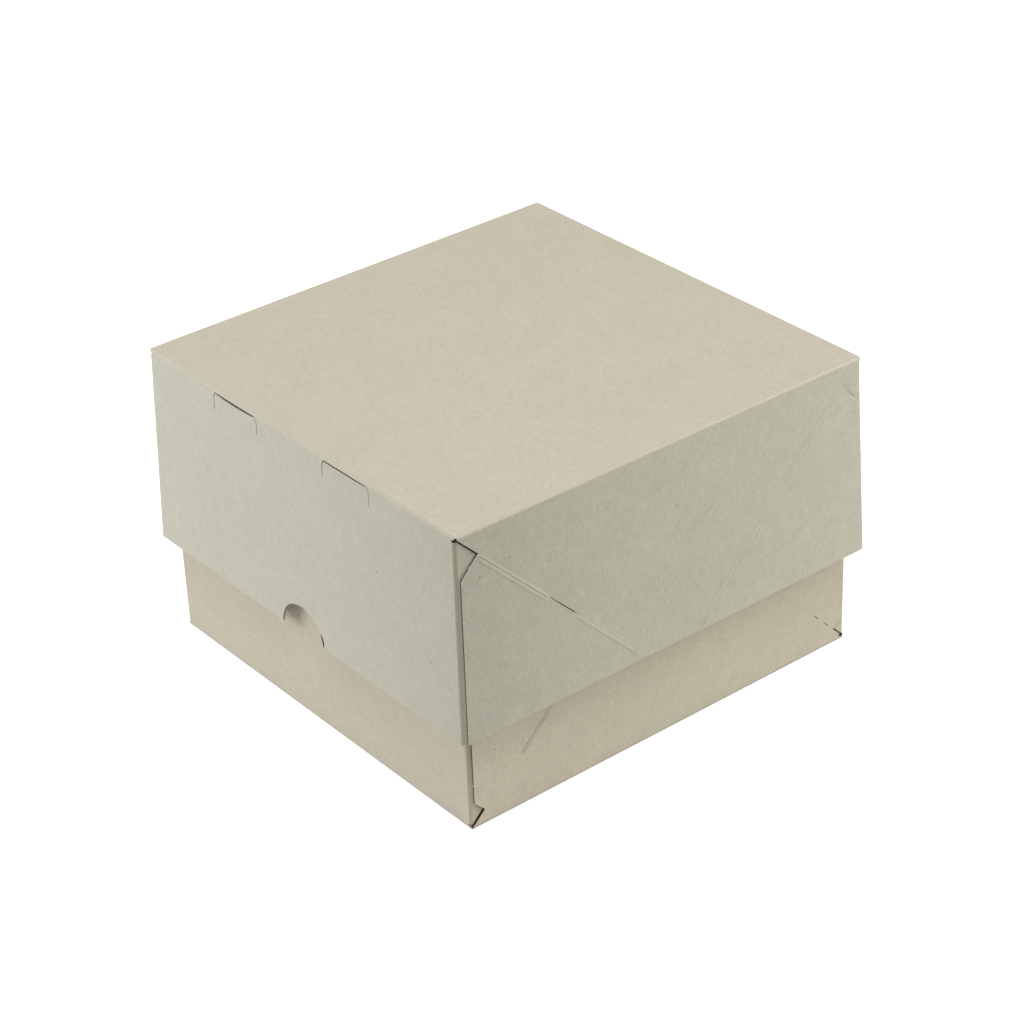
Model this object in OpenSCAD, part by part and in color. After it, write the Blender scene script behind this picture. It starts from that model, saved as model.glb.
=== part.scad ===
// Two-part telescoping box of solid grey board: a base tray and a flared lid tray.
// Each tray is folded from one die-cut blank and glued at its four corners.
// Millimetres, +Z up, origin at the centre of the base's underside.
// The end walls face -X and +X, the side walls face -Y and +Y.

/* [Board] */
// Thickness of the board
board = 0.7; // [0.5:0.1:1]
// Outer radius of the folds, apart from those along the lid's corners
fold_r = 1.2; // [1:0.1:2]
// Thickness of the glue between a corner flap and its gusset
glue_t = 0.3; // [0.2:0.1:1]

/* [Base] */
// Length of the base along X, over its end walls
base_len = 234; // [200:1:300]
// Width of the base along Y, over its side walls
base_wid = 230; // [200:1:300]
// Height of the base from the underside to the rim
base_height = 155.2; // [130:0.1:180]
// Distance from the base's corner line to the cut edge of a side wall
base_edge_gap = 2.3; // [1:0.1:4]
// Distance from the corner to the tip of the relief cut
base_relief = 8; // [6:0.1:10]

/* [Lid] */
// Depth of the lid's walls, along their slope
lid_depth = 104; // [90:1:110]
// Outward slope of the lid's walls, degrees
lid_flare_angle = 1.75; // [0:0.25:3]
// Room between the base's walls and the innermost layer of the lid
lid_fit = 1.5; // [0.4:0.1:2]
// Distance from the lid's corner line to the cut edge of a side wall
lid_edge_gap = 2.3; // [1:0.1:4]
// Distance from the corner to the tip of the relief cut
lid_relief = 11.6; // [8:0.1:16]
// Outer radius of the folds along the lid's corners
lid_corner_r = 1.7; // [1.2:0.1:2.4]

/* [Thumb notch] */
// Radius of the notch in each end wall's lower edge
notch_r = 16.1; // [10:0.1:20]
// Distance from the lower edge out to the notch's centre
notch_drop = 1.2; // [0:0.1:5]

/* [Press tabs] */
// Width of a press tab between its leg cuts
tab_w = 34.5; // [20:0.5:44]
// Distance from the fold down to a press tab's bending line
tab_depth = 10.4; // [8:0.2:16]
// Distance between the centres of a wall's two press tabs
tab_pitch = 85.5; // [60:0.5:110]
// Offset of the pair from the middle of the wall
tab_shift = 3; // [-5:0.5:5]
// Distance from the lid's fold line down to the open slit above a press tab
tab_drop = 1.4; // [1.3:0.1:3]
// Width of the open slit above a press tab
tab_slit = 0.4; // [0.2:0.05:1]
// Width of the leg cuts beside a press tab
leg_slit = 0.45; // [0.2:0.05:0.6]

/* [Corner flaps] */
// Reach of a glue flap along its side wall
flap_reach = 62; // [40:1:75]
// Distance from a flap's lower edge to the rim at its free end
flap_short = 2; // [0.5:0.5:6]
// Distance from a flap's slanted edge to the diagonal crease
flap_clear = 1; // [0.6:0.1:3]
// Margin from a flap's edges to the glue
glue_margin = 13; // [8:1:18]

/* [Diagonal creases] */
// Width of the cut stretches in the diagonals
cut_w = 0.3; // [0.2:0.05:0.6]
// Distance along the wall to the start of the lid's cut stretch
lid_cut_start = 49.5; // [30:0.5:60]
// Length of the lid's cut stretch, along the wall
lid_cut_len = 14; // [5:0.5:18]
// Distance along the wall to the base's first short cut
base_cut_start = 11.6; // [11:0.1:14]
// Length of each short cut, along the wall
base_cut_len = 2.8; // [1.5:0.1:4]
// Distance between the starts of the base's short cuts
base_cut_pitch = 6.8; // [5:0.1:9]

/* [Hidden] */
$fn = 96;

// How far every cut runs past the solid that it cuts
overrun = 4;
// Depth of a flap's outer face behind the side wall's face
lap = board + glue_t;
// What one side of the lid adds to the base
lid_side = board + glue_t + board + lid_fit;
lid_len = base_len + 2 * lid_side;
lid_wid = base_wid + 2 * lid_side;
top_z = base_height + board;
// Half the width of the short crease where two long diagonals meet
crown = 2;
// How much of a fold's tip is cut away at a tray's corner, along either side
tip_cut = 1.2 * fold_r;
// Slant of a press tab's upper corners, across and down
tab_corner_w = 1.3;
tab_corner_h = 2.5;
// Further distance down the wall from a flap's edges to the glue
glue_offset = glue_margin / 2;
base_cuts = [for (i = [0, 1]) [base_cut_start + i * base_cut_pitch, base_cut_len]];
lid_cuts = [[lid_cut_start, lid_cut_len]];

// A tray is [length, width, wall depth, flare, edge gap, relief, cuts, corner radius].
base_tray = [base_len, base_wid, base_height, 0, base_edge_gap, base_relief, base_cuts, fold_r];
lid_tray = [lid_len, lid_wid, lid_depth, lid_flare_angle, lid_edge_gap, lid_relief, lid_cuts,
    lid_corner_r];
function len_of(t) = t[0];
function wid_of(t) = t[1];
function depth_of(t) = t[2];
function flare_of(t) = t[3];
function edge_of(t) = t[4];
function relief_of(t) = t[5];
function cuts_of(t) = t[6];
function corner_of(t) = t[7];

// Distance from the corner line of two faces to where their fold begins.
function panel_setback(t) = fold_r * tan((90 - flare_of(t)) / 2);
// Where a diagonal ends: at the rim, or short of the middle of the wall.
function diagonal_end(t) = min(depth_of(t), len_of(t) / 2 - crown);
// Where the flat part of an end wall begins beside the corner fold, at v down the wall.
function fold_edge(t, v) = corner_of(t) * cos(flare_of(t)) - v * sin(flare_of(t));

// Colours of the board: warm on the base and the lid's panel, greyer on the lid's walls.
module warm_board() { color([0.78, 0.76, 0.68]) children(); }
module grey_board() { color([0.73, 0.73, 0.67]) children(); }
module glue_tone() { color([0.87, 0.84, 0.74]) children(); }

// Puts a wall drawn as X along the fold, Y down the wall and Z outwards on its side
// of an upright tray whose half span there is half_span.
module on_wall(angle, half_span, flare) {
    rotate([0, 0, angle]) translate([0, -half_span, 0]) rotate([90 + flare, 0, 0]) children();
}
module as_lid() { translate([0, 0, top_z]) mirror([0, 0, 1]) children(); }

// A sheet of the board in a wall's place.
module sheet(points) {
    translate([0, 0, -board]) linear_extrude(board) polygon(points);
}

// The section of a fold: a ring sector of radius r about the origin from angle a0 to a1.
module bend(r, a0, a1) {
    reach = 2 * r;
    intersection() {
        difference() {
            circle(r);
            circle(r - board);
        }
        polygon([[0, 0], reach * [cos(a0), sin(a0)],
            2 * reach * [cos((a0 + a1) / 2), sin((a0 + a1) / 2)], reach * [cos(a1), sin(a1)]]);
    }
}

// The fold between a wall and its panel, mitred where it meets the folds beside it and
// blunt at the tray's corners. half is half the fold's length and half_span the distance
// to the wall's face.
module panel_fold(t, angle, half, half_span) {
    c = tip_cut;
    intersection() {
        on_wall(angle, half_span, flare_of(t))
            translate([-half - overrun, panel_setback(t), -fold_r]) rotate([90, 0, 90])
                linear_extrude(2 * (half + overrun)) bend(fold_r, 90, 180 - flare_of(t));
        rotate([0, 0, angle]) translate([0, 0, -overrun])
            linear_extrude(2 * fold_r + overrun) polygon([
                [c + overrun - half, -half_span - overrun],
                [half - c - overrun, -half_span - overrun],
                [half - c / 2, c / 2 - half_span],
                [half - 2 * fold_r, 2 * fold_r - half_span],
                [2 * fold_r - half, 2 * fold_r - half_span],
                [c / 2 - half, c / 2 - half_span]]);
    }
}

module panel(t) {
    s = panel_setback(t);
    translate([s - len_of(t) / 2, s - wid_of(t) / 2, 0])
        cube([len_of(t) - 2 * s, wid_of(t) - 2 * s, board]);
}

// Half the width of an end wall's flat part, at v down the wall.
function end_half(t, v) = wid_of(t) / 2 - lap / cos(flare_of(t)) - fold_edge(t, v);

module end_wall(t, angle) {
    v0 = panel_setback(t);
    v1 = depth_of(t);
    panel_fold(t, angle, wid_of(t) / 2, len_of(t) / 2);
    on_wall(angle, len_of(t) / 2, flare_of(t)) sheet([[-end_half(t, v0), v0],
        [end_half(t, v0), v0], [end_half(t, v1), v1], [-end_half(t, v1), v1]]);
}

// The part of a side wall between its two diagonals.
module side_wall(t, angle) {
    v0 = panel_setback(t);
    m = diagonal_end(t);
    half = len_of(t) / 2;
    panel_fold(t, angle, half, wid_of(t) / 2);
    on_wall(angle, wid_of(t) / 2, flare_of(t))
        sheet([[v0 - half, v0], [half - v0, v0], [half - m, m], [m - half, m]]);
}

// Points along a diagonal from its relief to its end, set back where it is cut.
function diagonal(t) = let (w = cut_w / sqrt(2)) [
    [relief_of(t), relief_of(t)],
    for (c = cuts_of(t)) let (a = c[0], b = c[0] + c[1])
        each [[a, a], [a - w, a + w], [b - w, b + w], [b, b]],
    [diagonal_end(t), diagonal_end(t)]];

// The triangle of a side wall outside its diagonal, at the wall's -X end. Its first
// number is measured from the tray's upright corner, its second down the wall.
// Its cut edge runs beside the corner line, and its relief runs square to the diagonal.
function gusset_points(t) = let (
        e = edge_of(t), r = relief_of(t), d = depth_of(t), half = len_of(t) / 2,
        s = sin(flare_of(t)), q = (r - e + r * s) / (1 - s),
        long = d > diagonal_end(t)) concat(
    [[r - q, r + q]], diagonal(t),
    long ? [[half, diagonal_end(t)], [half, d]] : [], [[e - d * s, d]]);

// The glue flap of an end wall and its fold, behind the gusset at the wall's -X end.
function flap_points(t) = let (d = depth_of(t), f = flap_clear, r = corner_of(t)) [
    [-flap_reach, r + f], [r, r + f], [flap_reach, flap_reach + f],
    [flap_reach, d - flap_short], [r, d], [-flap_reach, d]];

function glue_points(t) = let (
        m = glue_margin, a = flap_reach - m, d = depth_of(t) - flap_short - glue_offset) [
    [m, m + glue_offset], [a, a + glue_offset], [a, d], [m, d]];

// A side wall's corner outline, at the -X end for end = -1 and at +X for end = 1.
function at_end(t, end, points) = [for (p = points) [end * (len_of(t) / 2 - p[0]), p[1]]];

module gusset(t, angle, end) {
    on_wall(angle, wid_of(t) / 2, flare_of(t)) sheet(at_end(t, end, gusset_points(t)));
}

// The board that turns from an end wall into its flap, along the corner of the tray.
module corner_strip(t) {
    r = corner_of(t);
    f = flare_of(t);
    tilt = atan(sqrt(2) * tan(f));
    turn = acos(pow(sin(f), 2));
    translate([r / cos(f) - len_of(t) / 2, (lap + r) / cos(f) - wid_of(t) / 2, 0])
        rotate([0, tilt, 225]) rotate(turn / 2) linear_extrude(depth_of(t) + overrun) {
            bend(r, -turn, 0);
            translate([r - board, 0]) square([board, flap_reach + 2 * overrun]);
        }
}

// The flap at the -X -Y corner, flipped to the other corners by sx and sy.
module flap(t, sx, sy) {
    inside = lap + corner_of(t) + overrun;
    mirror([sx > 0 ? 1 : 0, 0, 0]) mirror([0, sy > 0 ? 1 : 0, 0]) intersection() {
        corner_strip(t);
        on_wall(0, wid_of(t) / 2, flare_of(t)) translate([0, 0, -inside])
            linear_extrude(inside) polygon(at_end(t, -1, flap_points(t)));
    }
}

module glue(t) {
    for (angle = [0, 180], end = [-1, 1])
        on_wall(angle, wid_of(t) / 2, flare_of(t))
            translate([0, 0, -lap]) linear_extrude(glue_t) polygon(at_end(t, end, glue_points(t)));
}

// Half widths of a press tab and of the window that it stands in.
tab_half = (tab_w - leg_slit) / 2;
window_half = (tab_w + leg_slit) / 2;

// A press tab's outline, or its window's, from its bending line up to its top edge.
function tab_outline(half, top) = let (c = tab_corner_w) [
    [half, tab_depth], [half, top + tab_corner_h], [half - c, top],
    [c - half, top], [-half, top + tab_corner_h], [-half, tab_depth]];
// The middle of a press tab along Y: side -1 is the front one, side 1 the back one.
function tab_place(side) = tab_shift + side * tab_pitch / 2;

module window() {
    translate([0, 0, -board - overrun]) linear_extrude(board + 2 * overrun)
        polygon(tab_outline(window_half, tab_drop));
}

module lid_end_wall(flip) {
    difference() {
        end_wall(lid_tray, 90 * flip);
        on_wall(90 * flip, lid_len / 2, lid_flare_angle) {
            for (side = [-1, 1]) translate([flip * tab_place(side), 0, 0]) window();
            translate([0, lid_depth + notch_drop, -board - overrun])
                cylinder(h = board + 2 * overrun, r = notch_r);
        }
    }
}

module press_tab(flip, side) {
    on_wall(90 * flip, lid_len / 2, lid_flare_angle) translate([flip * tab_place(side), 0, 0])
        sheet(tab_outline(tab_half, tab_drop + tab_slit));
}

warm_board() panel(base_tray);  // base_panel
warm_board() end_wall(base_tray, -90);  // base_end_wall_left
warm_board() end_wall(base_tray, 90);  // base_end_wall_right
warm_board() side_wall(base_tray, 0);  // base_side_wall_front
warm_board() side_wall(base_tray, 180);  // base_side_wall_back
warm_board() gusset(base_tray, 0, -1);  // base_gusset_front_left
warm_board() gusset(base_tray, 0, 1);  // base_gusset_front_right
warm_board() gusset(base_tray, 180, 1);  // base_gusset_back_left
warm_board() gusset(base_tray, 180, -1);  // base_gusset_back_right
warm_board() flap(base_tray, -1, -1);  // base_flap_front_left
warm_board() flap(base_tray, 1, -1);  // base_flap_front_right
warm_board() flap(base_tray, -1, 1);  // base_flap_back_left
warm_board() flap(base_tray, 1, 1);  // base_flap_back_right
glue_tone() glue(base_tray);  // base_glue
warm_board() as_lid() panel(lid_tray);  // lid_panel
grey_board() as_lid() lid_end_wall(-1);  // lid_end_wall_left
grey_board() as_lid() lid_end_wall(1);  // lid_end_wall_right
grey_board() as_lid() side_wall(lid_tray, 0);  // lid_side_wall_front
grey_board() as_lid() side_wall(lid_tray, 180);  // lid_side_wall_back
grey_board() as_lid() gusset(lid_tray, 0, -1);  // lid_gusset_front_left
grey_board() as_lid() gusset(lid_tray, 0, 1);  // lid_gusset_front_right
grey_board() as_lid() gusset(lid_tray, 180, 1);  // lid_gusset_back_left
grey_board() as_lid() gusset(lid_tray, 180, -1);  // lid_gusset_back_right
grey_board() as_lid() flap(lid_tray, -1, -1);  // lid_flap_front_left
grey_board() as_lid() flap(lid_tray, 1, -1);  // lid_flap_front_right
grey_board() as_lid() flap(lid_tray, -1, 1);  // lid_flap_back_left
grey_board() as_lid() flap(lid_tray, 1, 1);  // lid_flap_back_right
glue_tone() as_lid() glue(lid_tray);  // lid_glue
grey_board() as_lid() press_tab(-1, -1);  // press_tab_left_front
grey_board() as_lid() press_tab(-1, 1);  // press_tab_left_back
grey_board() as_lid() press_tab(1, -1);  // press_tab_right_front
grey_board() as_lid() press_tab(1, 1);  // press_tab_right_back
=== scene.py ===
# A lidded box folded from solid grey board: camera, board materials, pressed creases, cuts,
# torn edges, specks, floor and studio light. Lengths are in metres.
import math

import bmesh
import bpy
from mathutils import Matrix, Vector, noise


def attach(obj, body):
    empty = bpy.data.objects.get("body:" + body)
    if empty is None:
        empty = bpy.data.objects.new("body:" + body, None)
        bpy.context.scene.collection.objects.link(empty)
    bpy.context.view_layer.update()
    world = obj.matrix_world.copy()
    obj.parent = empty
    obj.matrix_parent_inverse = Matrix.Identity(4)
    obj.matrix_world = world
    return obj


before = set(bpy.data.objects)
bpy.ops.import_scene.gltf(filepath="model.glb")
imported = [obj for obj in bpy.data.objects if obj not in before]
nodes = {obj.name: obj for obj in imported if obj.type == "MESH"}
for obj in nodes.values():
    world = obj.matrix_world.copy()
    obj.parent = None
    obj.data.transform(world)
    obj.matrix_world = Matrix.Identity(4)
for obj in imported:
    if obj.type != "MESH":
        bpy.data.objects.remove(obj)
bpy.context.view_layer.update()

photoCamera = {
    "focal": 99.24,  # millimetres, on a sensor 36 mm wide
    "sensor": 36.0,
    "place": (-0.72129, -0.92963, 0.77227),
    "turn": (59.083, 2.0636, -39.1495),  # degrees about X, Y and Z
    "clip": (0.05, 50),
}


def addCamera(view):
    data = bpy.data.cameras.new("photoCamera")
    data.sensor_fit = "HORIZONTAL"
    data.sensor_width = view["sensor"]
    data.lens = view["focal"]
    data.clip_start, data.clip_end = view["clip"]
    camera = bpy.data.objects.new("photoCamera", data)
    camera.location = view["place"]
    camera.rotation_euler = [math.radians(angle) for angle in view["turn"]]
    bpy.context.scene.collection.objects.link(camera)
    bpy.context.scene.camera = camera


addCamera(photoCamera)
print("camera placed")

# The two trays as the solids have them. A wall's place is (u, v, n): u along its fold,
# v from the fold line towards the rim, n out of its face. A wall's ends are -1 and 1 along u.
mm = 0.001
baseTray = {
    "body": "base",
    "slot": "base_board",
    "sideBoard": "baseSide",
    "trimBoard": "scoreShade",
    "length": 234 * mm,
    "width": 230 * mm,
    "depth": 155.2 * mm,
    "flare": 0.0,
    "foldZ": 0.0,
    "up": 1,  # the rim lies above the fold
    "relief": 8 * mm,  # how far a corner's relief reaches from the fold
    "cuts": [(11.6 * mm, 14.4 * mm), (18.4 * mm, 21.2 * mm)],  # in the diagonals, from v to v
}
lidTray = {
    "body": "lid",
    "slot": "lid_wall",
    "sideBoard": "lidSide",
    "trimBoard": "crestHighlight",
    "length": 240.4 * mm,
    "width": 236.4 * mm,
    "depth": 104 * mm,
    "flare": math.radians(1.75),
    "foldZ": 155.9 * mm,
    "up": -1,
    "relief": 11.6 * mm,
    "cuts": [(49.5 * mm, 63.5 * mm)],
}
wallTurn = {"front": 0.0, "right": 90.0, "back": 180.0, "left": -90.0}


def wallPoint(tray, side, u, v, n):
    along = side in ("front", "back")
    half = (tray["width"] if along else tray["length"]) / 2
    lean, rise = math.sin(tray["flare"]), math.cos(tray["flare"])
    out = half + v * lean + n * rise
    point = Vector((u, -out, tray["foldZ"] + tray["up"] * (v * rise - n * lean)))
    return Matrix.Rotation(math.radians(wallTurn[side]), 3, "Z") @ point


def cornerPoint(tray, side, end, a, v, n):
    # a runs inwards from the corner line at a side wall's end
    return wallPoint(tray, side, end * (tray["length"] / 2 - a), v, n)


def diagonal(tray, end, first, last, aside=0.0):
    # A stretch of a side wall's diagonal, or of a line a little aside of it
    half = tray["length"] / 2
    return [(end * (half - v + aside), v + aside) for v in (first, last)]


def link(tree, source, target):
    tree.links.new(source, target)


def put(tree, socket, value):
    if isinstance(value, bpy.types.NodeSocket):
        link(tree, value, socket)
    else:
        socket.default_value = value


def calc(tree, operation, first, second=0.0, third=0.0, clamp=False):
    node = tree.nodes.new("ShaderNodeMath")
    node.operation = operation
    node.use_clamp = clamp
    for socket, value in zip(node.inputs, (first, second, third)):
        put(tree, socket, value)
    return node.outputs[0]


def ramp(tree, value, low, high):
    node = tree.nodes.new("ShaderNodeMapRange")
    node.interpolation_type = "SMOOTHSTEP"
    for name, setting in (("Value", value), ("From Min", low), ("From Max", high)):
        put(tree, node.inputs[name], setting)
    return node.outputs["Result"]


def blendColor(tree, factor, first, second):
    node = tree.nodes.new("ShaderNodeMix")
    node.data_type = "RGBA"
    put(tree, node.inputs["Factor"], factor)
    put(tree, [s for s in node.inputs if s.name == "A" and s.type == "RGBA"][0], first)
    put(tree, [s for s in node.inputs if s.name == "B" and s.type == "RGBA"][0], second)
    return [s for s in node.outputs if s.type == "RGBA"][0]


def vectorCalc(tree, operation, first, second=(0, 0, 0), output=0):
    node = tree.nodes.new("ShaderNodeVectorMath")
    node.operation = operation
    put(tree, node.inputs[0], first)
    put(tree, node.inputs[1], second)
    return node.outputs[output]


def noiseAt(tree, place, scale, detail, rough):
    node = tree.nodes.new("ShaderNodeTexNoise")
    put(tree, node.inputs["Vector"], place)
    node.inputs["Scale"].default_value = scale
    node.inputs["Detail"].default_value = detail
    node.inputs["Roughness"].default_value = rough
    return node.outputs["Fac"]


def newGroup(name, takes, gives):
    group = bpy.data.node_groups.new(name, "ShaderNodeTree")
    for label, kind in takes:
        group.interface.new_socket(name=label, in_out="INPUT", socket_type=kind)
    for label, kind in gives:
        group.interface.new_socket(name=label, in_out="OUTPUT", socket_type=kind)
    start = group.nodes.new("NodeGroupInput")
    end = group.nodes.new("NodeGroupOutput")
    return group, start, end


number, vector, tint = "NodeSocketFloat", "NodeSocketVector", "NodeSocketColor"

# Recycled board: fine mottle, fibres drawn along the grain, dark flecks, a soft bow
grainLook = {
    # (along the drawn fibres, scale, detail, weight) of the mottle's layers
    "layers": [(False, 2300, 2, 1.7), (True, 1300, 3, 1.7), (False, 560, 2, 1.4),
               (False, 170, 2, 0.9), (False, 34, 2, 0.55)],
    "layerRough": 0.6,
    "driftScale": 70,  # of patches of warmer and greyer board
    "drift": 0.06,
    "driftInBlue": 1.6,
    "fleckScale": 330,
    "fleckSize": (0.05, 0.09),  # least, and the most that is added
    "fleckBlur": 0.05,
    "fleckDepth": (0.15, 0.6),  # how strongly a fleck shows, in the same way
    "roughness": (0.86, 0.12),  # middle, and change with the mottle
    "waveScale": 11,  # of the slow waves in a panel
    "bowFrom": (0.03, 0.03, 0.115),  # the walls bow away from here
}


def makeGrainGroup(look):
    group, start, end = newGroup(
        "boardGrain",
        [("Place", vector), ("Grain", vector), ("Board", tint), ("Fleck", tint),
         ("Mottle", number), ("Fleck Share", number), ("Relief", number), ("Wave", number),
         ("Bend", vector)],
        [("Color", tint), ("Roughness", number), ("Height", number)])
    take = start.outputs
    drawn = vectorCalc(group, "MULTIPLY", take["Place"], take["Grain"])
    parts = 0.0
    for along, scale, detail, weight in look["layers"]:
        place = drawn if along else take["Place"]
        wave = calc(group, "SUBTRACT", noiseAt(group, place, scale, detail, look["layerRough"]), 0.5)
        parts = calc(group, "MULTIPLY_ADD", wave, weight, parts)
    warm = noiseAt(group, take["Place"], look["driftScale"], 2, 0.5)
    light = calc(group, "MULTIPLY_ADD", parts, take["Mottle"], 1.0)
    toned = vectorCalc(group, "SCALE", take["Board"])
    put(group, toned.node.inputs["Scale"], light)
    drift = calc(group, "MULTIPLY", calc(group, "SUBTRACT", warm, 0.5), look["drift"])
    drift = calc(group, "MULTIPLY", drift, take["Mottle"])
    inBlue = calc(group, "MULTIPLY", drift, look["driftInBlue"])
    shifted = group.nodes.new("ShaderNodeCombineXYZ")
    put(group, shifted.inputs[0], calc(group, "ADD", drift, 1.0))
    put(group, shifted.inputs[1], 1.0)
    put(group, shifted.inputs[2], calc(group, "SUBTRACT", 1.0, inBlue))
    toned = vectorCalc(group, "MULTIPLY", toned, shifted.outputs[0])

    # dark flecks in a share of the cells
    cells = group.nodes.new("ShaderNodeTexVoronoi")
    put(group, cells.inputs["Vector"], take["Place"])
    cells.inputs["Scale"].default_value = look["fleckScale"]
    pick = group.nodes.new("ShaderNodeSeparateXYZ")
    put(group, pick.inputs[0], cells.outputs["Color"])
    chosen = calc(group, "LESS_THAN", pick.outputs[0], take["Fleck Share"])
    least, more = look["fleckSize"]
    size = calc(group, "MULTIPLY_ADD", pick.outputs[1], more, least)
    within = calc(group, "SUBTRACT", size, cells.outputs["Distance"])
    inside = ramp(group, within, 0.0, look["fleckBlur"])
    least, more = look["fleckDepth"]
    depth = calc(group, "MULTIPLY_ADD", pick.outputs[2], more, least)
    mask = calc(group, "MULTIPLY", calc(group, "MULTIPLY", chosen, inside), depth)
    color = blendColor(group, mask, toned, take["Fleck"])

    middle, change = look["roughness"]
    rough = calc(group, "MULTIPLY_ADD", parts, change, middle, clamp=True)
    height = calc(group, "MULTIPLY", parts, take["Relief"])
    wave = noiseAt(group, take["Place"], look["waveScale"], 1, 0.4)
    height = calc(group, "MULTIPLY_ADD", wave, take["Wave"], height)
    aside = vectorCalc(group, "SUBTRACT", take["Place"], look["bowFrom"])
    spread = vectorCalc(group, "MULTIPLY", vectorCalc(group, "MULTIPLY", aside, aside),
                        vectorCalc(group, "ABSOLUTE", aside))
    bow = vectorCalc(group, "DOT_PRODUCT", spread, take["Bend"], 1)
    height = calc(group, "ADD", height, bow)
    link(group, color, end.inputs["Color"])
    link(group, rough, end.inputs["Roughness"])
    link(group, height, end.inputs["Height"])
    return group


# A die-cut edge is crushed pale at the outer face; below it the dark core is partly the torn board's own
# tone and partly painted shade of the crevice along the edge
edgeLook = {
    "tearScale": 900,
    "coreBlend": 0.12 * mm,  # from the pale lip into the dark core
    "sideFacing": (0.4, 0.65),  # where a face that turns aside becomes a cut edge
    "rimFacing": (0.75, 0.9),
}


def makeEdgeGroup(look):
    group, start, end = newGroup(
        "cutEdge",
        [("Place", vector), ("Facing", vector), ("Across", vector), ("Rim", vector),
         ("Outer Face", vector), ("Outer Reach", number), ("Lip Width", number), ("Color", tint),
         ("Lip", tint), ("Core And Shade", tint)],
        [("Color", tint)])
    take = start.outputs
    mirrored = vectorCalc(group, "ABSOLUTE", take["Place"])
    reach = vectorCalc(group, "DOT_PRODUCT", mirrored, take["Outer Face"], 1)
    depth = calc(group, "SUBTRACT", take["Outer Reach"], reach)
    torn = noiseAt(group, take["Place"], look["tearScale"], 2, 0.6)
    width = calc(group, "MULTIPLY", take["Lip Width"], calc(group, "ADD", torn, 0.5))
    below = calc(group, "SUBTRACT", depth, width)
    deep = calc(group, "DIVIDE", below, look["coreBlend"], clamp=True)
    across = vectorCalc(group, "DOT_PRODUCT", take["Facing"], take["Across"], 1)
    sideMask = ramp(group, calc(group, "ABSOLUTE", across), *look["sideFacing"])
    rim = vectorCalc(group, "DOT_PRODUCT", take["Facing"], take["Rim"], 1)
    rimMask = ramp(group, rim, *look["rimFacing"])
    edge = blendColor(group, calc(group, "MULTIPLY", deep, sideMask), take["Lip"], take["Core And Shade"])
    mask = calc(group, "MAXIMUM", sideMask, rimMask)
    link(group, blendColor(group, mask, take["Color"], edge), end.inputs["Color"])
    return group


def makeFoldGroup():
    # A fold's tone changes with the way that its face turns: partly the stretched board's own tone, partly
    # painted highlight and painted shade on the fold
    group, start, end = newGroup(
        "foldToneAndShading",
        [("Facing", vector), ("Turned", vector), ("From", number), ("To", number), ("Color", tint),
         ("Fold", tint), ("Share", number)],
        [("Color", tint)])
    take = start.outputs
    mirrored = vectorCalc(group, "ABSOLUTE", take["Facing"])
    turned = vectorCalc(group, "DOT_PRODUCT", mirrored, take["Turned"], 1)
    share = ramp(group, turned, take["From"], take["To"])
    mask = calc(group, "MULTIPLY", share, take["Share"])
    link(group, blendColor(group, mask, take["Color"], take["Fold"]), end.inputs["Color"])
    return group


grainGroup = makeGrainGroup(grainLook)
edgeGroup = makeEdgeGroup(edgeLook)
foldGroup = makeFoldGroup()
print("shader groups made")


def srgb(red, green, blue):
    values = [c / 255 for c in (red, green, blue)]
    return [v / 12.92 if v <= 0.04045 else ((v + 0.055) / 1.055) ** 2.4 for v in values] + [1.0]


boardTones = {
    "warm": srgb(204, 198, 181),  # base and the lid's panel
    "cool": srgb(199, 198, 183),  # lid's walls
    "side": srgb(209, 203, 185),  # base's side walls: a lighter copy of the base board, painted light that brightens these walls
    "lip": srgb(212, 206, 188),  # of a cut edge
    # dark core of a cut edge: partly torn board, partly painted shade of the crevice
    "coreAndShade": srgb(80, 70, 52),
    "fleck": srgb(112, 104, 88),
    "topFold": srgb(213, 206, 188),  # painted highlight along the folds at the top of the lid's sides
    "endFoldShade": srgb(196, 190, 172),  # and a darker copy along its ends: painted shade
    # painted contact shadow along the base walls' bottom folds
    "baseFoldShadow": srgb(112, 108, 96),
    # partly the creased board's own browner tone, partly painted shade in the lid's corner folds
    "lidCornerFoldToneAndShade": srgb(182, 175, 155),
    "baseCornerFold": srgb(206, 196, 174),
    "torn": srgb(226, 219, 200),
    "crestHighlight": srgb(211, 208, 192),  # painted highlight on the crests of the finer scores
    "scoreShade": srgb(170, 161, 140),  # painted shade in thin scores and along relief cuts
    # near-black painted shade for open cuts, slits, notch rims and the holes at corners
    "gap": srgb(52, 44, 28),
    "speck": srgb(104, 92, 76),
}
flat = (0, 0, 0)
boardDefaults = {
    "grain": (1, 1, 1),  # the fibres are drawn longer along an axis with less than 1
    "mottle": 0.13,
    "fleckShare": 0.1,
    "relief": 0.006 * mm,
    "wave": 1.2 * mm,
    "bend": flat,  # how strongly the face bows, by axis
    "across": flat,  # way that the cut edges face
    "rim": flat,  # way that the rim faces
    "outer": flat,  # way out of the wall, and how far out its face lies
    "reach": 1.0,
    "lipWidth": 0.22 * mm,
    "fold": "topFold",  # tone of a fold, by default the painted highlight along the lid's sides
    "turned": flat,  # way that the fold faces, and where its tone begins and is full
    "turnRange": (0.1, 0.75),
    "foldShare": 0.85,
    "specular": 0.28,
}


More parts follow.
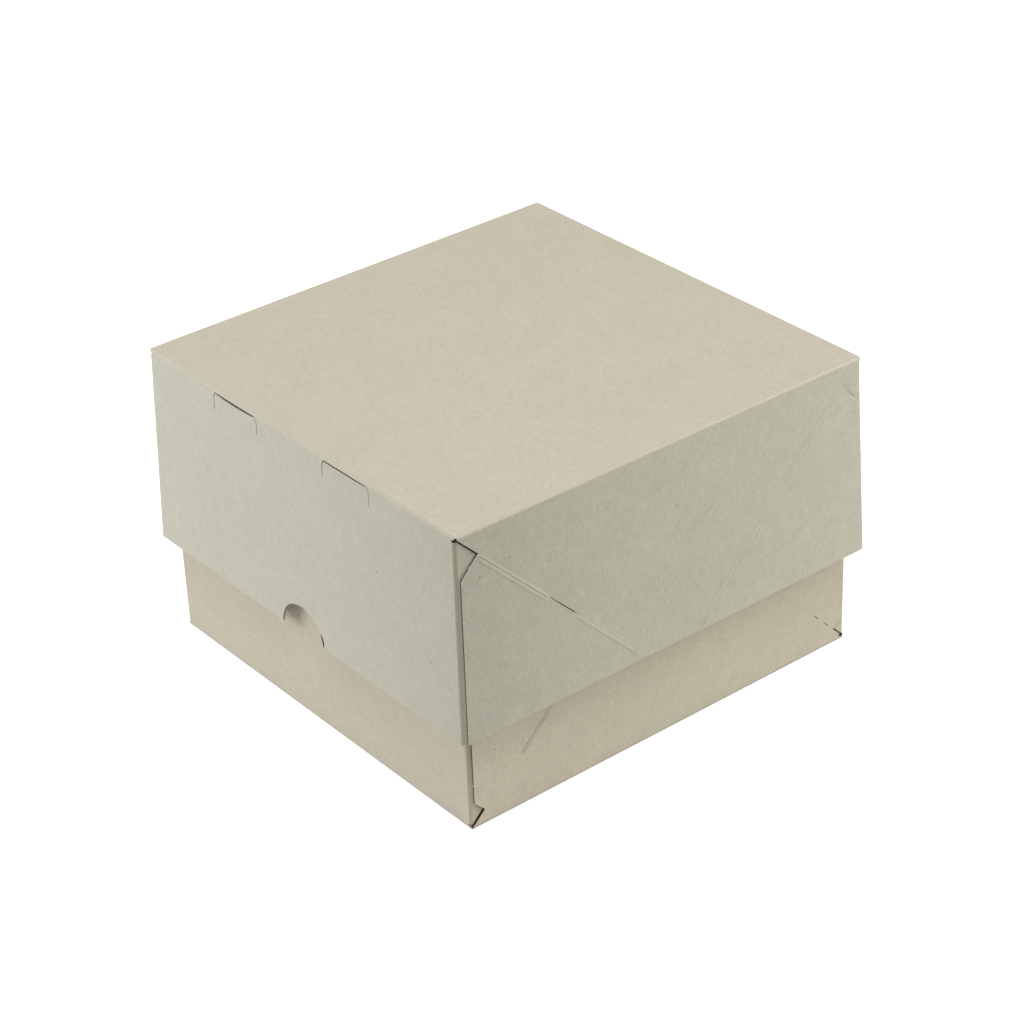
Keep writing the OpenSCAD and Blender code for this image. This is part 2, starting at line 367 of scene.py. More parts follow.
def makeBoard(name, color, **changes):
    look = {**boardDefaults, **changes}
    material = bpy.data.materials.new(name)
    material.use_nodes = True
    tree = material.node_tree
    shader = tree.nodes["Principled BSDF"]
    shader.inputs["Specular IOR Level"].default_value = look["specular"]
    place = tree.nodes.new("ShaderNodeTexCoord")

    def placed(group, settings):
        node = tree.nodes.new("ShaderNodeGroup")
        node.node_tree = group
        for label, value in settings.items():
            put(tree, node.inputs[label], value)
        return node.outputs

    grained = placed(grainGroup, {
        "Place": place.outputs["Object"], "Grain": look["grain"], "Board": boardTones[color],
        "Fleck": boardTones["fleck"], "Mottle": look["mottle"], "Fleck Share": look["fleckShare"],
        "Relief": look["relief"], "Wave": look["wave"], "Bend": look["bend"]})
    turnFrom, turnTo = look["turnRange"]
    folded = placed(foldGroup, {
        "Facing": place.outputs["Normal"], "Turned": look["turned"], "From": turnFrom, "To": turnTo,
        "Color": grained["Color"], "Fold": boardTones[look["fold"]], "Share": look["foldShare"]})
    edged = placed(edgeGroup, {
        "Place": place.outputs["Object"], "Facing": place.outputs["Normal"],
        "Across": look["across"], "Rim": look["rim"], "Outer Face": look["outer"],
        "Outer Reach": look["reach"], "Lip Width": look["lipWidth"],
        "Color": folded["Color"], "Lip": boardTones["lip"], "Core And Shade": boardTones["coreAndShade"]})
    bump = tree.nodes.new("ShaderNodeBump")
    bump.inputs["Distance"].default_value = 1.0
    put(tree, bump.inputs["Height"], grained["Height"])
    put(tree, shader.inputs["Base Color"], edged["Color"])
    put(tree, shader.inputs["Roughness"], grained["Roughness"])
    put(tree, shader.inputs["Normal"], bump.outputs["Normal"])
    return material


def lidFace(facesX):
    # Which way a lid wall's cut edges face, and where its outer face lies
    lean = lidTray["flare"]
    half = lidTray["length" if facesX else "width"] / 2
    reach = half * math.cos(lean) + lidTray["foldZ"] * math.sin(lean)
    if facesX:
        return {"across": (0, 1, 0), "outer": (math.cos(lean), 0, math.sin(lean)), "reach": reach}
    return {"across": (1, 0, 0), "outer": (0, math.cos(lean), math.sin(lean)), "reach": reach}


def makeBoards():
    wall, panel = (1, 1, 0.3), (0.3, 1, 1)  # the fibres run up the walls and along X
    bowed = {"grain": wall, "bend": (-2.2, -2.6, 5.5)}
    topFold = {"rim": (0, 0, -1), "turned": (0, 0, 1)}
    baseFoldShadow = {"rim": (0, 0, 1), "turned": (0, 0, 1), "turnRange": (0.04, 0.3), "fold": "baseFoldShadow"}
    cornerFold = {"turned": (0.707, 0.707, 0), "turnRange": (0.74, 0.88)}
    baseEnd = {"across": (0, 1, 0), "outer": (1, 0, 0), "reach": baseTray["length"] / 2}
    baseSide = {"across": (1, 0, 0), "outer": (0, 1, 0), "reach": baseTray["width"] / 2}
    endFace, sideFace = lidFace(True), lidFace(False)
    return {
        "lidTop": makeBoard("lidTopBoard", "warm", grain=panel, across=(1, 0, 0)),
        "lidEnd": makeBoard("lidEndBoard", "cool", **bowed, **topFold, **endFace, fold="endFoldShade"),
        "lidTab": makeBoard("pressTabBoard", "cool", **bowed, **endFace, rim=(0, 0, 1)),
        "lidSide": makeBoard("lidSideBoard", "cool", **bowed, **topFold, **sideFace, mottle=0.16),
        "lidFlap": makeBoard("lidFlapBoard", "cool", **bowed, **cornerFold, rim=(0, 0, -1),
                             fold="lidCornerFoldToneAndShade"),
        "baseFloor": makeBoard("baseFloorBoard", "warm", grain=panel),
        "baseEnd": makeBoard("baseEndBoard", "warm", grain=wall, **baseFoldShadow, **baseEnd,
                             bend=(0, 0.6, 2.5)),
        "baseSide": makeBoard("baseSideBoard", "side", grain=wall, **baseFoldShadow, **baseSide,
                              bend=(0.5, 0, 2.5)),
        "baseFlap": makeBoard("baseFlapBoard", "warm", **bowed, **cornerFold, rim=(0, 0, 1),
                              fold="baseCornerFold"),
        "torn": makeBoard("tornBoard", "torn", mottle=0.3, relief=0.02 * mm),
        "crestHighlight": makeBoard("crestHighlightBoard", "crestHighlight"),
        "scoreShade": makeBoard("scoreShadeBoard", "scoreShade"),
        "speck": makeBoard("darkFibre", "speck", mottle=0.5),
        "gap": makeBoard("shadeInGaps", "gap", mottle=0.6, relief=0.02 * mm),
    }


boards = makeBoards()

glueLook = {
    "tones": (srgb(214, 204, 176), srgb(236, 230, 210)),
    "scale": 150,
    "roughness": (0.35, 0.3),  # least, and the most that is added
    "relief": 0.2 * mm,
    "specular": 0.4,
}


def makeGlue(look):
    material = bpy.data.materials.new("driedGlue")
    material.use_nodes = True
    tree = material.node_tree
    shader = tree.nodes["Principled BSDF"]
    shader.inputs["Specular IOR Level"].default_value = look["specular"]
    place = tree.nodes.new("ShaderNodeTexCoord").outputs["Object"]
    spread = noiseAt(tree, place, look["scale"], 4, 0.6)
    put(tree, shader.inputs["Base Color"], blendColor(tree, spread, *look["tones"]))
    least, more = look["roughness"]
    put(tree, shader.inputs["Roughness"], calc(tree, "MULTIPLY_ADD", spread, more, least))
    bump = tree.nodes.new("ShaderNodeBump")
    bump.inputs["Distance"].default_value = look["relief"]
    put(tree, bump.inputs["Height"], spread)
    put(tree, shader.inputs["Normal"], bump.outputs["Normal"])
    return material


# Board of each kind of solid, by how its node's name starts
solidBoards = {
    "lid_panel": "lidTop", "lid_end_wall": "lidEnd", "press_tab": "lidTab",
    "lid_side_wall": "lidSide", "lid_gusset": "lidSide", "lid_flap": "lidFlap",
    "base_panel": "baseFloor", "base_end_wall": "baseEnd", "base_side_wall": "baseSide",
    "base_gusset": "baseSide", "base_flap": "baseFlap",
}


def dressSolids(kinds):
    glue = makeGlue(glueLook)
    for name, solid in nodes.items():
        material = glue
        for start, board in kinds.items():
            if name.startswith(start):
                material = boards[board]
        solid.data.materials.clear()
        solid.data.materials.append(material)


dressSolids(solidBoards)
print("solids dressed:", len(nodes))


def newShape():
    return {"vertices": [], "faces": []}


def addMesh(name, shape, board, body, slot):
    mesh = bpy.data.meshes.new(name)
    mesh.from_pydata([tuple(v) for v in shape["vertices"]], [], shape["faces"])
    mesh.materials.append(boards[board])
    work = bmesh.new()
    work.from_mesh(mesh)
    bmesh.ops.recalc_face_normals(work, faces=work.faces)
    for face in work.faces:
        face.smooth = True
    work.to_mesh(mesh)
    work.free()
    piece = bpy.data.objects.new(name, mesh)
    bpy.context.scene.collection.objects.link(piece)
    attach(piece, body)


def addToTray(name, shape, tray, board):
    addMesh(name, shape, board, tray["body"], tray["slot"])


def bar(rings, shape):
    # A closed bar through rings that hold the same number of points
    first = len(shape["vertices"])
    count = len(rings[0])
    for ring in rings:
        shape["vertices"].extend(ring)
    for i in range(len(rings) - 1):
        for k in range(count):
            a = first + i * count + k
            b = first + i * count + (k + 1) % count
            shape["faces"].append((a, b, b + count, a + count))
    for i in (0, len(rings) - 1):
        shape["faces"].append(tuple(first + i * count + k for k in range(count)))


def runBetween(start, stop):
    # Length of the line between two places (u, v) of a wall, and its direction
    runU, runV = stop[0] - start[0], stop[1] - start[1]
    length = math.hypot(runU, runV)
    return length, runU / length, runV / length


creaseShapes = {
    # (distance across the crease, height above the board), in millimetres
    "double": [(-0.9, -0.05), (-0.7, 0.0), (-0.4, 0.02), (-0.05, 0.115), (0.25, 0.21), (0.42, 0.225),
               (0.58, 0.2), (0.86, 0.09), (1.15, 0.004), (1.3, 0.002), (1.45, 0.035), (1.72, 0.145),
               (1.97, 0.21), (2.12, 0.213), (2.4, 0.18), (3.0, 0.03), (3.3, 0.0), (3.5, -0.05),
               (1.2, -0.2)],
    "single": [(-1.8, -0.05), (-1.6, 0.0), (-1.2, 0.01), (-0.5, 0.045), (-0.3, 0.045), (0.5, 0.003),
               (0.7, 0.012), (1.05, 0.1), (1.35, 0.18), (1.52, 0.188), (1.7, 0.165), (2.4, 0.02),
               (2.7, 0.0), (2.9, -0.05), (0.5, -0.2)],
    "groove": [(-1.8, -0.05), (-1.7, 0.0), (-0.9, 0.05), (0.0, 0.2), (0.2, 0.215), (0.45, 0.14),
               (0.82, 0.004), (1.02, 0.003), (1.35, 0.12), (1.6, 0.22), (1.8, 0.225), (3.2, 0.09),
               (4.6, 0.0), (4.7, -0.05), (0.9, -0.2)],
    "crestHighlight": [(1.3, -0.05), (1.38, 0.137), (1.6, 0.225), (1.8, 0.23), (2.15, 0.203), (2.2, -0.05),
              (1.7, -0.2)],
    "shallow": [(-2.8, -0.05), (-2.7, 0.0), (-1.9, 0.06), (-1.38, 0.125), (-1.28, 0.128), (-0.95, 0.004),
                (-0.9, 0.0), (-0.85, -0.05), (-1.2, -0.16)],
    "line": [(-1.3, -0.05), (-1.27, 0.132), (-0.95, 0.012), (-0.78, 0.005), (-0.74, -0.05), (-1.0, -0.16)],
    "faint": [(-1.1, -0.05), (-1.0, 0.0), (-0.65, 0.05), (-0.42, 0.095), (-0.3, 0.09), (0.0, 0.01),
              (0.3, 0.09), (0.42, 0.095), (0.7, 0.04), (1.0, 0.0), (1.1, -0.05), (0.0, -0.14)],
    "thread": [(-0.3, -0.05), (-0.26, 0.0), (0.0, 0.012), (0.26, 0.0), (0.3, -0.05), (0.0, -0.2)],
}

# The finer strip that lies on some profiles: on a groove's crest a painted highlight, along a shallow
# crease a painted shade line
creaseTrims = {"groove": "crestHighlight", "shallow": "line"}
creaseLook = {
    "sunk": 0.02,  # of a faded end below the board, in millimetres
    "endWidth": 0.8,  # share of the width that a faded end keeps
    "taper": 3 * mm,  # length of the fading
    "fewestRings": 6,
    "sway": 0.07 * mm,  # aside, and how fast it changes along the crease
    "swayScale": 60,
    "swell": 0.25,  # share of the height, and how fast it changes
    "swellScale": 130,
    "rimGap": 0.02 * mm,
    "underRim": 0.005 * mm,  # a flared wall's crease stays this far inside its rim
}


def creaseBar(tray, side, ends, profile, seed, shape, step=1 * mm, strength=1.0):
    # A crease or score pressed between two places (u, v) of a wall, fading at both ends
    look = creaseLook
    startU, startV = ends[0]
    length, runU, runV = runBetween(*ends)
    count = max(look["fewestRings"], int(length / step))
    rings = []
    for i in range(count + 1):
        s = length * i / count
        fade = min(1.0, s / look["taper"], (length - s) / look["taper"])
        fade = fade * fade * (3 - 2 * fade)  # eased in and out
        width = look["endWidth"] + (1 - look["endWidth"]) * fade
        sway = look["sway"] * noise.noise(Vector((s * look["swayScale"], seed, 0.0)))
        swell = 1.0 + look["swell"] * noise.noise(Vector((s * look["swellScale"], seed, 4.0)))
        ring = []
        for across, height in creaseShapes[profile]:
            offset = across * mm * width + sway
            down = min(startV + runV * s + runU * offset, tray["depth"] - look["rimGap"])
            faded = (height + look["sunk"]) * fade * strength * swell if height >= 0 else height
            lift = (faded - look["sunk"]) * mm
            if tray["flare"]:
                outAtRim = (tray["depth"] - down) * math.sin(tray["flare"])
                lift = min(lift, outAtRim - look["underRim"])
            ring.append(wallPoint(tray, side, startU + runU * s - runV * offset, down, lift))
        rings.append(ring)
    bar(rings, shape)


def addCrease(tray, side, ends, profile, seed, shape, trim, **look):
    # A crease in one shape, and its finer strip, if it has one, in another
    creaseBar(tray, side, ends, profile, seed, shape, **look)
    if profile in creaseTrims:
        creaseBar(tray, side, ends, creaseTrims[profile], seed, trim, **look)


diagonalCreases = {
    "gapToCut": 0.5 * mm,  # board left plain at each end of a cut
    "reliefGap": 0.6 * mm,
    "rimGap": 0.25 * mm,
    "crown": 2 * mm,  # left plain where two diagonals would meet
    # (wall's end, stretch between the cuts, profile, strength, how much later it begins)
    "lid": {
        "front": [(-1, 0, "double", 1.0, 0), (-1, 1, "single", 1.0, 0),
                  (1, 0, "groove", 1.0, 0), (1, 1, "groove", 1.0, 0)],
        "back": [(-1, 0, "groove", 1.0, 0), (-1, 1, "groove", 1.0, 0),
                 (1, 0, "double", 1.0, 0), (1, 1, "single", 1.0, 0)],
    },
    "base": {
        "front": [(-1, 2, "shallow", 1.1, 6.4 * mm), (1, 2, "faint", 0.6, 0)],
        "back": [(-1, 2, "faint", 0.6, 0), (1, 2, "shallow", 1.1, 6.4 * mm)],
    },
    # the upright crease that the base's diagonals leave between them and the rim
    "upright": {"profile": "double", "below": 1.5 * mm, "above": 1 * mm, "seed": 5},
}


def addDiagonalCreases(tray, settings):
    last = min(tray["depth"] - settings["rimGap"], tray["length"] / 2 - settings["crown"])
    stops = [tray["relief"] + settings["reliefGap"]]
    for low, high in tray["cuts"]:
        stops += [low - settings["gapToCut"], high + settings["gapToCut"]]
    stops.append(last)
    for side, creases in settings[tray["body"]].items():
        shape, trim = newShape(), newShape()
        for end, stretch, profile, strength, later in creases:
            first, stop = stops[2 * stretch:2 * stretch + 2]
            ends = diagonal(tray, end, first + later, stop)
            seed = 11 * end + 2 * stretch
            addCrease(tray, side, ends, profile, seed, shape, trim, strength=strength)
        if tray["body"] == "base":
            upright = settings["upright"]
            ends = [(0, last + upright["below"]), (0, tray["depth"] - upright["above"])]
            creaseBar(tray, side, ends, upright["profile"], upright["seed"], shape)
        addToTray(f"{tray['body']}Creases_{side}", shape, tray, tray["sideBoard"])
        if trim["vertices"]:
            addToTray(f"{tray['body']}Crests_{side}", trim, tray, tray["trimBoard"])


for tray in (lidTray, baseTray):
    addDiagonalCreases(tray, diagonalCreases)
print("diagonal creases made")

strayScores = {
    "step": 0.8 * mm,
    "strength": 0.8,
    "firstSeed": 3,
    "profiles": {"lid": "groove", "base": "faint"},
    # short scores beside the diagonals, in millimetres from the left corner line and the fold
    "lid": {"front": [((150.6, 40.5), (140.3, 51.3))], "back": [((92.0, 44.5), (99.5, 52.0))]},
    "base": {"front": [((44.8, 45.2), (42.2, 41.0)), ((189.5, 44.0), (192.0, 41.2))],
             "back": [((45.5, 44.8), (43.0, 41.5))]},
}


def addStrayScores(tray, settings):
    shape, trim = newShape(), newShape()
    look = {"step": settings["step"], "strength": settings["strength"]}
    profile = settings["profiles"][tray["body"]]
    for side, marks in settings[tray["body"]].items():
        for seed, mark in enumerate(marks, settings["firstSeed"]):
            ends = [(a * mm - tray["length"] / 2, v * mm) for a, v in mark]
            addCrease(tray, side, ends, profile, seed, shape, trim, **look)
    addToTray(f"{tray['body']}StrayScores", shape, tray, tray["sideBoard"])
    if trim["vertices"]:
        addToTray(f"{tray['body']}StrayCrests", trim, tray, tray["trimBoard"])


for tray in (lidTray, baseTray):
    addStrayScores(tray, strayScores)
print("stray scores made")

# Slits and cuts that the board has closed again, and thin lines of painted shade along cuts
closedCuts = {
    "legWidth": 0.34 * mm,  # of the press tabs' legs on the +Y side
    "legFrom": 2.7 * mm,
    "legTo": 10.2 * mm,
    "legSunk": 0.05 * mm,
    "cutWidth": 0.29 * mm,  # of the diagonal cuts
    "cutSunk": 0.015 * mm,
    "cutAside": 0.15 * mm,  # they lie on the gussets' side of the diagonals
    "lidCorners": [("front", 1), ("back", -1)],  # where the lid's cuts are closed
    "baseCorners": [("front", -1), ("back", 1)],  # where the base's are, and the lid's are open
    # (across, as a share of the width, height in millimetres) of the board in a slit
    "section": [(-0.5, 0.0), (-0.3, 0.0), (0.3, 0.0), (0.5, 0.0), (0.5, -0.4), (-0.5, -0.4)],
    "steps": 12,
    "rough": (1.2, 400, 9000),  # middle, and scales along the slit and with its depth
    "openThread": {"seed": 7, "step": 0.5 * mm},  # painted shade, near black, in the lid's open cuts
    "reliefThread": {"seed": 9, "step": 0.6 * mm},  # painted shade along the reliefs at the other corners
    "reliefEnds": [(11.2, 12.6), (3.0, 20.8)],  # millimetres from the corner line and the fold
}
# Press tabs: two on each end wall, pitch apart and both shifted towards +Y
tabs = {"width": 34.5 * mm, "pitch": 85.5 * mm, "shift": 3 * mm}


def fillSlit(tray, side, ends, width, sunk, shape):
    # A strip of board pressed between the faces of a slit, from one (u, v) to another
    settings = closedCuts
    startU, startV = ends[0]
    length, runU, runV = runBetween(*ends)
    middle, scale, depthScale = settings["rough"]
    rings = []
    for i in range(settings["steps"] + 1):
        s = length * i / settings["steps"]
        drop = sunk * (middle + noise.noise(Vector((s * scale, sunk * depthScale, 1.0))))
        ring = []
        for share, height in settings["section"]:
            u = startU + runU * s - runV * share * width
            v = startV + runV * s + runU * share * width
            ring.append(wallPoint(tray, side, u, v, height * mm - drop))
        rings.append(ring)
    bar(rings, shape)


def addClosedCuts(settings):
    aside = settings["cutAside"] / math.sqrt(2)
    cutLook = (settings["cutWidth"], settings["cutSunk"])
    shape = newShape()
    for side, flip in (("left", -1), ("right", 1)):
        for place in (-1, 1):
            u = flip * (tabs["shift"] + place * tabs["pitch"] / 2 + tabs["width"] / 2)
            ends = [(u, settings["legFrom"]), (u, settings["legTo"])]
            fillSlit(lidTray, side, ends, settings["legWidth"], settings["legSunk"], shape)
    low, high = lidTray["cuts"][0]
    for side, end in settings["lidCorners"]:
        fillSlit(lidTray, side, diagonal(lidTray, end, low, high, aside), *cutLook, shape)
    addToTray("lidClosedCuts", shape, lidTray, "lidSide")

    shape = newShape()
    for side, end in settings["baseCorners"]:
        for first, last in baseTray["cuts"]:
            fillSlit(baseTray, side, diagonal(baseTray, end, first, last, aside), *cutLook, shape)
    addToTray("baseClosedCuts", shape, baseTray, "baseSide")

    shape = newShape()
    for side, end in settings["baseCorners"]:
        ends = diagonal(lidTray, end, low, high, aside)
        creaseBar(lidTray, side, ends, "thread", shape=shape, **settings["openThread"])
    addToTray("lidOpenCuts", shape, lidTray, "gap")

    shape = newShape()
    for side, end in settings["lidCorners"]:
        ends = [(end * (lidTray["length"] / 2 - a * mm), v * mm) for a, v in settings["reliefEnds"]]
        creaseBar(lidTray, side, ends, "thread", shape=shape, **settings["reliefThread"])
    addToTray("reliefThreads", shape, lidTray, "scoreShade")


addClosedCuts(closedCuts)

# A near-black strip in and below each press tab's top slit: painted shade of the slit
tabSlitShades = {
    # (wall, place along it, width at the left end, in the middle and at the right end), in
    # millimetres
    "slitShades": [("left", -1, 0.3, 1.0, 0.35), ("left", 1, 0.5, 0.45, 0.1),
              ("right", -1, 0.1, 0.4, 0.2), ("right", 1, 0.25, 0.45, 0.1)],
    "bodies": {("left", 1): "tab_left_front", ("left", -1): "tab_left_back",
               ("right", -1): "tab_right_front", ("right", 1): "tab_right_back"},
    "top": 1.4 * mm,  # of the slit, from the fold line
    "slit": 0.4 * mm,
    "cornerRound": 2.2 * mm,
    # (distance down, height) of its section in the slit, in millimetres
    "inSlit": [(-0.36, -0.3), (-0.36, -0.08), (-0.05, -0.05)],
    # (share of the width, height in millimetres) of its section below the slit
    "below": [(0.15, 0.01), (0.8, 0.015), (1.0, -0.02), (1.0, -0.25), (0.0, -0.25)],
    "steps": 24,
    "rough": 0.25,
    "roughScale": 9,
}


def addTabSlitShades(settings):
    top = settings["top"] + settings["slit"]
    half = tabs["width"] / 2 - settings["cornerRound"]
    for side, place, left, middle, right in settings["slitShades"]:
        flip = -1 if side == "left" else 1
        centre = flip * tabs["shift"] + place * tabs["pitch"] / 2
        rings = []
        for i in range(settings["steps"] + 1):
            t = 2 * i / settings["steps"] - 1
            width = middle + ((right if t > 0 else left) - middle) * t * t
            waver = noise.noise(Vector((t * settings["roughScale"], place, flip)))
            width *= 1 + settings["rough"] * waver
            points = settings["inSlit"] + [(share * width, n) for share, n in settings["below"]]
            u = centre + t * half
            rings.append([wallPoint(lidTray, side, u, top + v * mm, n * mm) for v, n in points])
        shape = newShape()
        bar(rings, shape)
        body = settings["bodies"][(side, place)]
        addMesh(f"tabSlitShade_{side}_{place + 2}", shape, "gap", body, lidTray["slot"])


addTabSlitShades(tabSlitShades)

# Near-black strips along the rims of the thumb notches: painted shade along their cut edges
notchShades = {
    "radius": 16.1 * mm,
    "drop": 1.2 * mm,  # of the notch's centre beyond the rim
    # (wall, from, to, width in millimetres): degrees round the notch, from its crown to the right
    "shadeStrips": [("left", 61, 84.5, 1.4), ("left", -81, -20, 0.35), ("right", -80, -60, 0.5),
             ("right", 10, 70, 0.25)],
    # (share of the width, height in millimetres)
    "section": [(0.0, 0.02), (0.3, 0.05), (0.8, 0.04), (1.0, -0.02), (1.0, -0.3), (0.0, -0.3)],
    "steps": 20,
    "gap": 0.02 * mm,
    "thinnest": 0.08,  # share of the width at the ends
    "bulge": (0.06, 0.93, 0.6),  # where its sine starts, how far it runs, and its power
}


def addNotchShades(settings):
    shape = newShape()
    centre = lidTray["depth"] + settings["drop"]
    begin, span, power = settings["bulge"]
    for side, start, stop, width in settings["shadeStrips"]:
        rings = []
        for i in range(settings["steps"] + 1):
            t = i / settings["steps"]
            angle = math.radians(start + (stop - start) * t)
            bulge = math.sin(math.pi * min(1, t * span + begin)) ** power
            wide = width * mm * max(settings["thinnest"], bulge)
            ring = []
            for share, n in settings["section"]:
                radius = settings["radius"] + settings["gap"] + share * wide
                v = centre - radius * math.cos(angle)
                outAtRim = (lidTray["depth"] - v) * math.sin(lidTray["flare"])
                lift = min(n * mm, outAtRim - creaseLook["underRim"])
                ring.append(wallPoint(lidTray, side, radius * math.sin(angle), v, lift))
            rings.append(ring)
        bar(rings, shape)
    addToTray("notchShades", shape, lidTray, "gap")


addNotchShades(notchShades)
print("closed cuts and tears made")

lumpLook = {
    "rings": 7,
    "sides": 9,
    "blunt": 0.12,  # added to the sine that its width follows
    "rough": 0.45,
    "roundScale": 2,  # of the roughness, round the lump and along it
    "alongScale": 3,
}


def lump(place, half, seed, shape):
    # A ragged lump: place gives the point at (across, down, out), half holds the half sizes
    look = lumpLook
    rings = []
    for i in range(look["rings"]):
        t = i / (look["rings"] - 1)
        swell = look["blunt"] + math.sin(math.pi * t)
        ring = []
        for k in range(look["sides"]):
            angle = 2 * math.pi * k / look["sides"]
            x, y = math.cos(angle), math.sin(angle)
            spot = Vector((x * look["roundScale"], y * look["roundScale"] + seed, t * look["alongScale"]))
            rough = 1 + look["rough"] * noise.noise(spot)
            ring.append(place(half[0] * swell * x * rough, (2 * t - 1) * half[1] * rough,
                              half[2] * swell * y))
        rings.append(ring)
    bar(rings, shape)


# Near-black wedges where a corner's relief is torn wider: painted shade in the hole that the tear leaves
wedges = {
    # (side, end, a, v, half width, half height), in millimetres: a runs inwards from the
    # corner line, v from the fold line
    "marks": [("front", 1, 2.6, 2.4, 1.0, 1.7), ("back", -1, 2.4, 2.6, 0.8, 1.5)],
    "lean": (1, -0.4),  # how the height leans into the width, and the width into the height
    "shorten": 0.7,  # of the half height
    "sunk": 0.03 * mm,
    "thick": 0.05 * mm,
    "seedStep": 1.9,
}


def addWedges(tray, settings):
    shape = newShape()
    aside, up = settings["lean"]
    for seed, (side, end, a, v, across, down) in enumerate(settings["marks"]):
        def place(x, y, n):
            n -= settings["sunk"]
            return cornerPoint(tray, side, end, a * mm + x + aside * y, v * mm + y + up * x, n)
        half = (across * mm, down * mm * settings["shorten"], settings["thick"])
        lump(place, half, seed * settings["seedStep"], shape)
    addToTray("cornerWedgeShades", shape, tray, "gap")


addWedges(baseTray, wedges)

# Torn bridges that the die left, and a long torn sliver down one corner
nicks = {
    # (side, end, a, v, half width, half height, lift), in millimetres
    "lid": [("front", -1, 6.3, 16.6, 0.42, 0.62, 0.12), ("front", -1, 12.0, 12.9, 0.35, 0.4, 0.1),
            ("front", -1, 1.15, 41.8, 0.3, 0.45, 0.1), ("front", -1, 0.75, 55.3, 0.3, 0.4, 0.1),
            ("front", -1, 1.8, 22.4, 0.35, 0.45, 0.1), ("front", -1, -0.5, 97.6, 0.3, 0.5, 0.1),
            ("front", -1, 0.85, 80, 0.12, 19, -0.2), ("front", 1, 6.9, 16.2, 0.35, 0.5, 0.1),
            ("front", 1, 0.6, 60.0, 0.3, 0.45, 0.1), ("back", -1, 6.4, 16.8, 0.4, 0.55, 0.1),
            ("back", -1, 1.0, 47.0, 0.3, 0.45, 0.1), ("back", 1, 6.7, 16.5, 0.4, 0.5, 0.1),
            ("back", 1, 0.2, 71.0, 0.3, 0.45, 0.1)],
    "base": [("front", -1, 1.9, 23.5, 0.75, 0.45, -0.25), ("front", 1, 1.9, 24.5, 0.7, 0.45, -0.25),
             ("back", -1, 1.9, 22.8, 0.7, 0.45, -0.25), ("back", 1, 1.9, 25.1, 0.75, 0.45, -0.25)],
    "sunk": 0.1,  # in millimetres too
    "thick": 0.14 * mm,
    "seedStep": 3.7,
}
# Stray marks in the board
specks = {
    # (tray, wall, u, v, half width, half height), in millimetres
    "marks": [("lid", "front", -108.6, 23.4, 0.34, 0.5), ("lid", "front", -92.0, 20.2, 0.22, 0.62),
              ("lid", "front", -71.0, 30.6, 0.24, 0.3), ("lid", "front", 3.0, 33.0, 0.3, 0.3),
              ("lid", "front", 54.0, 61.0, 0.25, 0.4), ("lid", "front", 88.0, 19.0, 0.28, 0.28),
              ("lid", "left", 61.0, 42.0, 0.3, 0.35), ("lid", "left", -20.0, 30.0, 0.25, 0.3),
              ("lid", "left", -88.0, 66.0, 0.28, 0.4), ("lid", "left", 99.0, 71.0, 0.3, 0.3),
              ("lid", "right", 33.0, 50.0, 0.3, 0.4), ("lid", "back", -40.0, 25.0, 0.3, 0.4),
              ("base", "front", -102.0, 37.5, 0.25, 0.4), ("base", "front", -20.0, 16.0, 0.3, 0.3),
              ("base", "left", -58.0, 20.0, 0.3, 0.3)],
    "thick": 0.02 * mm,
    "seedStep": 2.3,
}


def addNicks(tray, settings):
    shape = newShape()
    for seed, (side, end, a, v, across, down, lift) in enumerate(settings[tray["body"]]):
        def place(x, y, n):
            n += (lift - settings["sunk"]) * mm
            return cornerPoint(tray, side, end, a * mm + x, v * mm + y, n)
        half = (across * mm, down * mm, settings["thick"])
        lump(place, half, seed * settings["seedStep"], shape)
    addToTray(f"{tray['body']}Nicks", shape, tray, "torn")


def addSpecks(tray, settings):
    shape = newShape()
    for seed, (body, side, u, v, across, down) in enumerate(settings["marks"]):
        def place(x, y, n):
            return wallPoint(tray, side, u * mm + x, v * mm + y, n)
        half = (across * mm, down * mm, settings["thick"])
        if body == tray["body"]:
            lump(place, half, seed * settings["seedStep"], shape)
    addToTray(f"{tray['body']}Specks", shape, tray, "speck")


for tray in (lidTray, baseTray):
    addNicks(tray, nicks)
    addSpecks(tray, specks)
print("nicks and specks made")

studio = {
    "floorHalf": 6.0,
    "floorTone": srgb(228, 228, 226),
    "floorLift": 0.66,  # what the camera alone sees added to the floor
    "skyStrength": 0.17,
    "skyTone": (1.0, 0.87, 0.66, 1.0),
    "aim": (0, 0, 0.08),  # of the lights
    "lights": [
        {"name": "leftLight", "place": (-1.10, 1.00, 0.50), "size": 0.9, "power": 13.9,
         "color": (0.99, 1.0, 1.03)},
        {"name": "rightLight", "place": (1.10, -0.58, 0.36), "size": 0.7, "power": 10.2,
         "color": (1.0, 0.985, 0.94)},
        {"name": "topLight", "place": (-0.3, -0.42, 1.9), "size": 1.1, "power": 21.5,
         "color": (0.99, 1.0, 1.03)},
    ],
}


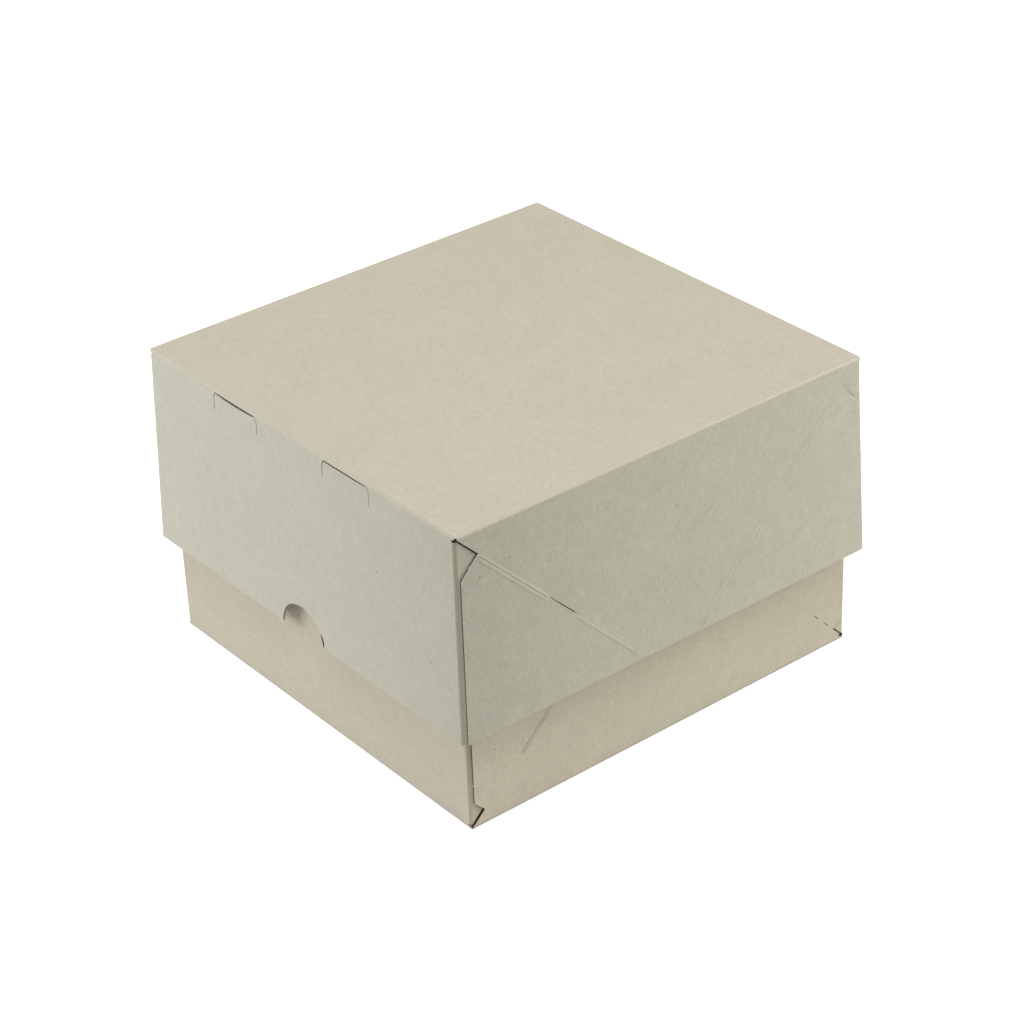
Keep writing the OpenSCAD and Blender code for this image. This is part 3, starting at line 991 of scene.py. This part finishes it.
def addFloor(settings):
    half = settings["floorHalf"]
    corners = [(-half, -half, 0), (half, -half, 0), (half, half, 0), (-half, half, 0)]
    mesh = bpy.data.meshes.new("studioFloor")
    mesh.from_pydata(corners, [], [(0, 1, 2, 3)])
    floor = bpy.data.objects.new("studioFloor", mesh)
    bpy.context.scene.collection.objects.link(floor)
    material = bpy.data.materials.new("floorPaper")
    material.use_nodes = True
    tree = material.node_tree
    shader = tree.nodes["Principled BSDF"]
    shader.inputs["Specular IOR Level"].default_value = 0.0
    shader.inputs["Roughness"].default_value = 1.0
    shader.inputs["Base Color"].default_value = settings["floorTone"]
    shader.inputs["Emission Color"].default_value = (1, 1, 1, 1)
    seen = tree.nodes.new("ShaderNodeLightPath").outputs["Is Camera Ray"]
    put(tree, shader.inputs["Emission Strength"], calc(tree, "MULTIPLY", seen, settings["floorLift"]))
    mesh.materials.append(material)


def addSky(settings):
    world = bpy.data.worlds.new("studioSky")
    world.use_nodes = True
    tree = world.node_tree
    light = tree.nodes["Background"]
    light.inputs["Color"].default_value = settings["skyTone"]
    light.inputs["Strength"].default_value = settings["skyStrength"]
    white = tree.nodes.new("ShaderNodeBackground")
    white.inputs["Color"].default_value = (1, 1, 1, 1)
    white.inputs["Strength"].default_value = 1.0
    path = tree.nodes.new("ShaderNodeLightPath")
    direct = calc(tree, "MAXIMUM", path.outputs["Is Camera Ray"], path.outputs["Is Glossy Ray"])
    direct = calc(tree, "MAXIMUM", direct, path.outputs["Is Transmission Ray"])
    mix = tree.nodes.new("ShaderNodeMixShader")
    put(tree, mix.inputs[0], direct)
    link(tree, light.outputs[0], mix.inputs[1])
    link(tree, white.outputs[0], mix.inputs[2])
    link(tree, mix.outputs[0], tree.nodes["World Output"].inputs["Surface"])
    bpy.context.scene.world = world


def addLights(settings):
    aim = Vector(settings["aim"])
    for lamp in settings["lights"]:
        data = bpy.data.lights.new(lamp["name"], "AREA")
        data.shape = "SQUARE"
        data.size = lamp["size"]
        data.energy = lamp["power"]
        data.color = lamp["color"]
        light = bpy.data.objects.new(lamp["name"], data)
        light.location = lamp["place"]
        light.rotation_euler = (aim - light.location).to_track_quat("-Z", "Y").to_euler()
        bpy.context.scene.collection.objects.link(light)


addFloor(studio)
addSky(studio)
addLights(studio)
bpy.context.scene.view_settings.view_transform = "Standard"
print("studio set")
